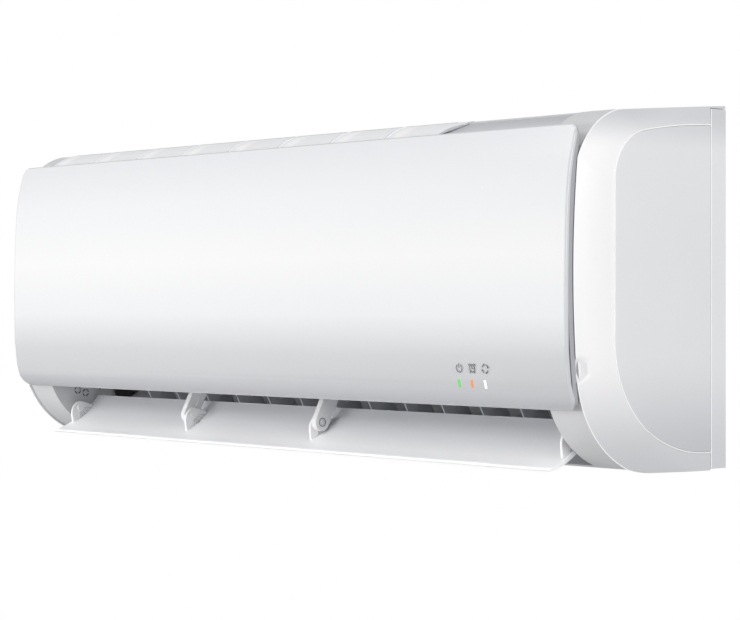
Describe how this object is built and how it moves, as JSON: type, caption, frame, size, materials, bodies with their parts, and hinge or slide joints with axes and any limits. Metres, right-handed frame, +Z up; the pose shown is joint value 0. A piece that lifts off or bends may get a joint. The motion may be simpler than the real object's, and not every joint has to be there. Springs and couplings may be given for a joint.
{
  "type": "mini split indoor unit",
  "caption": "Wall-hung indoor unit of a split air conditioner with a hinged front panel, swinging outlet flap, steering vanes, cross-flow fan, coil and filters.",
  "frame": {"origin": "centre of the four wall screws, on the wall's surface behind the mounting plate", "axes": "+X to the right as seen by someone facing the wall, +Y into the wall, +Z up"},
  "size_m": [0.805, 0.1731, 0.2926],
  "materials": {
    "case_white": "satin moulded plastic",
    "panel_white": "satin moulded plastic",
    "insert_grey": "fine matt",
    "flap_white": "satin moulded plastic",
    "inner_grey": "matt moulded plastic",
    "vane_grey": "matt moulded plastic",
    "fan_dark": "matt moulded plastic",
    "bush_black": "matt",
    "shaft_steel": "ground",
    "motor_white": "matt moulded plastic",
    "zinc_steel": "zinc coated sheet",
    "fin_alu": "fine fins",
    "copper": "drawn copper tube",
    "union_brass": "machined",
    "filter_white": "matt moulded plastic",
    "mesh_grey": "fine woven net",
    "board_green": "lacquered circuit board",
    "terminal_black": "matt moulded plastic",
    "lamp_clear": "clear moulded lenses",
    "button_white": "matt moulded plastic",
    "drain_black": "matt moulded plastic"
  },
  "bodies": {
    "housing": {"wall_plate": "zinc_steel", "rear_chassis": "case_white", "front_frame": "case_white", "end_cap_left": "case_white", "end_cap_right": "case_white", "side_insert_left": "insert_grey", "side_insert_right": "insert_grey", "drain_pan": "inner_grey", "drain_spigot": "drain_black", "flap_arm_left": "case_white", "flap_arm_right": "case_white", "flap_motor": "motor_white", "vane_carriers": "inner_grey", "fan_bush": "bush_black", "fan_motor": "motor_white", "motor_clamp": "zinc_steel", "evaporator_front": "fin_alu", "evaporator_upper": "fin_alu", "evaporator_rear": "fin_alu", "tube_sheets": "zinc_steel", "return_bends": "copper", "gas_pipe": "copper", "liquid_pipe": "copper", "pipe_unions": "union_brass", "control_box": "zinc_steel", "control_box_cover": "zinc_steel", "circuit_board": "board_green", "terminal_block": "terminal_black", "display_board": "board_green"},
    "panel": {"front_panel": "panel_white", "panel_backing": "case_white", "indicator_windows": "lamp_clear"},
    "flap": {"flap": "flap_white", "flap_ears": "flap_white", "flap_pins": "shaft_steel", "flap_drive_shaft": "shaft_steel"},
    "fan": {"fan": "fan_dark", "fan_shaft": "shaft_steel"},
    "filter_left": {"filter_frame_left": "filter_white", "filter_mesh_left": "mesh_grey"},
    "filter_right": {"filter_frame_right": "filter_white", "filter_mesh_right": "mesh_grey"},
    "button": {"manual_button": "button_white"},
    "link_bar_left": {"link_bar_left": "vane_grey"},
    "link_bar_right": {"link_bar_right": "vane_grey"},
    "vane_01": {"vane_01": "vane_grey"},
    "vane_02": {"vane_02": "vane_grey"},
    "vane_03": {"vane_03": "vane_grey"},
    "vane_04": {"vane_04": "vane_grey"},
    "vane_05": {"vane_05": "vane_grey"},
    "vane_06": {"vane_06": "vane_grey"},
    "vane_07": {"vane_07": "vane_grey"},
    "vane_08": {"vane_08": "vane_grey"},
    "vane_09": {"vane_09": "vane_grey"},
    "vane_10": {"vane_10": "vane_grey"},
    "vane_11": {"vane_11": "vane_grey"},
    "vane_12": {"vane_12": "vane_grey"}
  },
  "joints": [
    {"name": "panel_hinge", "type": "hinge", "parent": "housing", "child": "panel", "pos_m": [0, -0.1475, 0.109], "axis": [-1, 0, 0], "range_deg": [0, 60]},
    {"name": "flap_hinge", "type": "hinge", "parent": "housing", "child": "flap", "pos_m": [0, -0.124, -0.123], "axis": [1, 0, 0], "range_deg": [-72, 18]},
    {"name": "fan_spin", "type": "hinge", "parent": "housing", "child": "fan", "pos_m": [0, -0.072, -0.038], "axis": [1, 0, 0], "continuous": true},
    {"name": "vane_01_turn", "type": "hinge", "parent": "housing", "child": "vane_01", "pos_m": [-0.264, -0.07484, -0.125], "axis": [0, -0.5, 0.866], "range_deg": [-30, 30]},
    {"name": "vane_02_turn", "type": "hinge", "parent": "housing", "child": "vane_02", "pos_m": [-0.216, -0.07484, -0.125], "axis": [0, -0.5, 0.866], "range_deg": [-30, 30]},
    {"name": "vane_03_turn", "type": "hinge", "parent": "housing", "child": "vane_03", "pos_m": [-0.168, -0.07484, -0.125], "axis": [0, -0.5, 0.866], "range_deg": [-30, 30]},
    {"name": "vane_04_turn", "type": "hinge", "parent": "housing", "child": "vane_04", "pos_m": [-0.12, -0.07484, -0.125], "axis": [0, -0.5, 0.866], "range_deg": [-30, 30]},
    {"name": "vane_05_turn", "type": "hinge", "parent": "housing", "child": "vane_05", "pos_m": [-0.072, -0.07484, -0.125], "axis": [0, -0.5, 0.866], "range_deg": [-30, 30]},
    {"name": "vane_06_turn", "type": "hinge", "parent": "housing", "child": "vane_06", "pos_m": [-0.024, -0.07484, -0.125], "axis": [0, -0.5, 0.866], "range_deg": [-30, 30]},
    {"name": "vane_07_turn", "type": "hinge", "parent": "housing", "child": "vane_07", "pos_m": [0.024, -0.07484, -0.125], "axis": [0, -0.5, 0.866], "range_deg": [-30, 30]},
    {"name": "vane_08_turn", "type": "hinge", "parent": "housing", "child": "vane_08", "pos_m": [0.072, -0.07484, -0.125], "axis": [0, -0.5, 0.866], "range_deg": [-30, 30]},
    {"name": "vane_09_turn", "type": "hinge", "parent": "housing", "child": "vane_09", "pos_m": [0.12, -0.07484, -0.125], "axis": [0, -0.5, 0.866], "range_deg": [-30, 30]},
    {"name": "vane_10_turn", "type": "hinge", "parent": "housing", "child": "vane_10", "pos_m": [0.168, -0.07484, -0.125], "axis": [0, -0.5, 0.866], "range_deg": [-30, 30]},
    {"name": "vane_11_turn", "type": "hinge", "parent": "housing", "child": "vane_11", "pos_m": [0.216, -0.07484, -0.125], "axis": [0, -0.5, 0.866], "range_deg": [-30, 30]},
    {"name": "vane_12_turn", "type": "hinge", "parent": "housing", "child": "vane_12", "pos_m": [0.264, -0.07484, -0.125], "axis": [0, -0.5, 0.866], "range_deg": [-30, 30]},
    {"name": "link_left_slide", "type": "slide", "parent": "housing", "child": "link_bar_left", "axis": [1, 0, 0], "range_m": [-0.0065, 0.0065]},
    {"name": "link_right_slide", "type": "slide", "parent": "housing", "child": "link_bar_right", "axis": [1, 0, 0], "range_m": [-0.0065, 0.0065]},
    {"name": "filter_left_slide", "type": "slide", "parent": "housing", "child": "filter_left", "axis": [0, 0, 1], "range_m": [0, 0.006]},
    {"name": "filter_right_slide", "type": "slide", "parent": "housing", "child": "filter_right", "axis": [0, 0, 1], "range_m": [0, 0.006]},
    {"name": "button_press", "type": "slide", "parent": "housing", "child": "button", "axis": [0, 1, 0], "range_m": [0, 0.002], "stiffness_N_per_m": 300}
  ],
  "couplings": [
    {"joint": "vane_02_turn", "follows": "vane_01_turn", "ratio": 1},
    {"joint": "vane_03_turn", "follows": "vane_01_turn", "ratio": 1},
    {"joint": "vane_04_turn", "follows": "vane_01_turn", "ratio": 1},
    {"joint": "vane_05_turn", "follows": "vane_01_turn", "ratio": 1},
    {"joint": "vane_06_turn", "follows": "vane_01_turn", "ratio": 1},
    {"joint": "vane_08_turn", "follows": "vane_07_turn", "ratio": 1},
    {"joint": "vane_09_turn", "follows": "vane_07_turn", "ratio": 1},
    {"joint": "vane_10_turn", "follows": "vane_07_turn", "ratio": 1},
    {"joint": "vane_11_turn", "follows": "vane_07_turn", "ratio": 1},
    {"joint": "vane_12_turn", "follows": "vane_07_turn", "ratio": 1},
    {"joint": "link_left_slide", "follows": "vane_01_turn", "m_per_rad": -0.01146},
    {"joint": "link_right_slide", "follows": "vane_07_turn", "m_per_rad": -0.01146}
  ]
}
